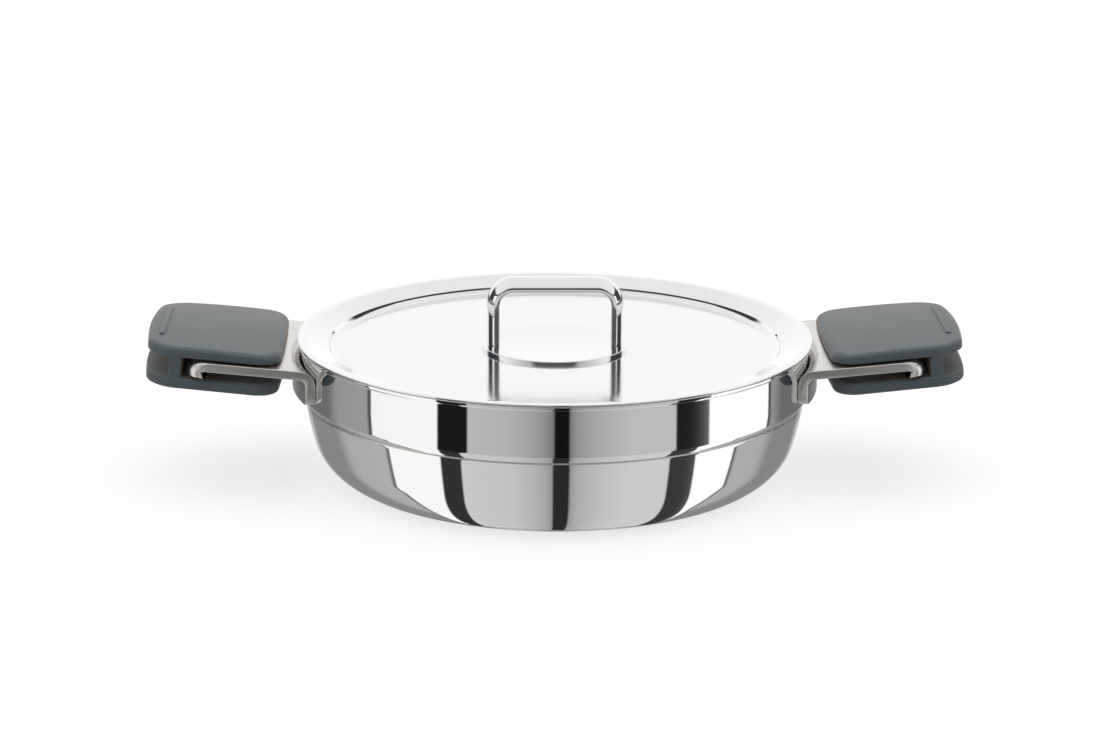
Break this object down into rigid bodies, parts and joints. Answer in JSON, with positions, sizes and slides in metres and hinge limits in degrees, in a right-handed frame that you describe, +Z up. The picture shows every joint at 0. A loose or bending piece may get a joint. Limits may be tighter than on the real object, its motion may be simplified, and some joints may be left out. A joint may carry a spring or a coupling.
{
  "type": "braiser",
  "caption": "Low round stainless pan with a stepped wall, a sunk flat lid with a strap handle, and plate side handles carrying slip-on silicone grips.",
  "frame": {"origin": "bottom centre of the base, where the pan stands", "axes": "+X along the side handles to the right of the picture's view, -Y towards the picture's camera, +Z up"},
  "size_m": [0.458, 0.29, 0.1135],
  "materials": {
    "polished_steel": "mirror-polished stainless steel",
    "lid_steel": "mirror-polished stainless steel",
    "brushed_steel": "satin brushed stainless steel",
    "base_steel": "turned magnetic stainless steel",
    "spreader_aluminium": "pressed aluminium",
    "grip_silicone": "matte slate-grey silicone"
  },
  "bodies": {
    "pan": {"pan_body": "polished_steel", "heat_spreader": "spreader_aluminium", "base_cap": "base_steel", "right_handle": "brushed_steel", "left_handle": "brushed_steel"},
    "lid": {"lid": "lid_steel", "lid_handle_disc": "lid_steel", "lid_handle": "lid_steel"},
    "right_grip": {"right_grip": "grip_silicone"},
    "left_grip": {"left_grip": "grip_silicone"}
  },
  "joints": [
    {"name": "lid_lift", "type": "slide", "parent": "pan", "child": "lid", "axis": [0, 0, 1], "range_m": [0, 0.12]},
    {"name": "right_grip_pull", "type": "slide", "parent": "pan", "child": "right_grip", "axis": [0.9957, 0, 0.0924], "range_m": [0, 0.062]},
    {"name": "left_grip_pull", "type": "slide", "parent": "pan", "child": "left_grip", "axis": [-0.9957, 0, 0.0924], "range_m": [0, 0.062]}
  ]
}
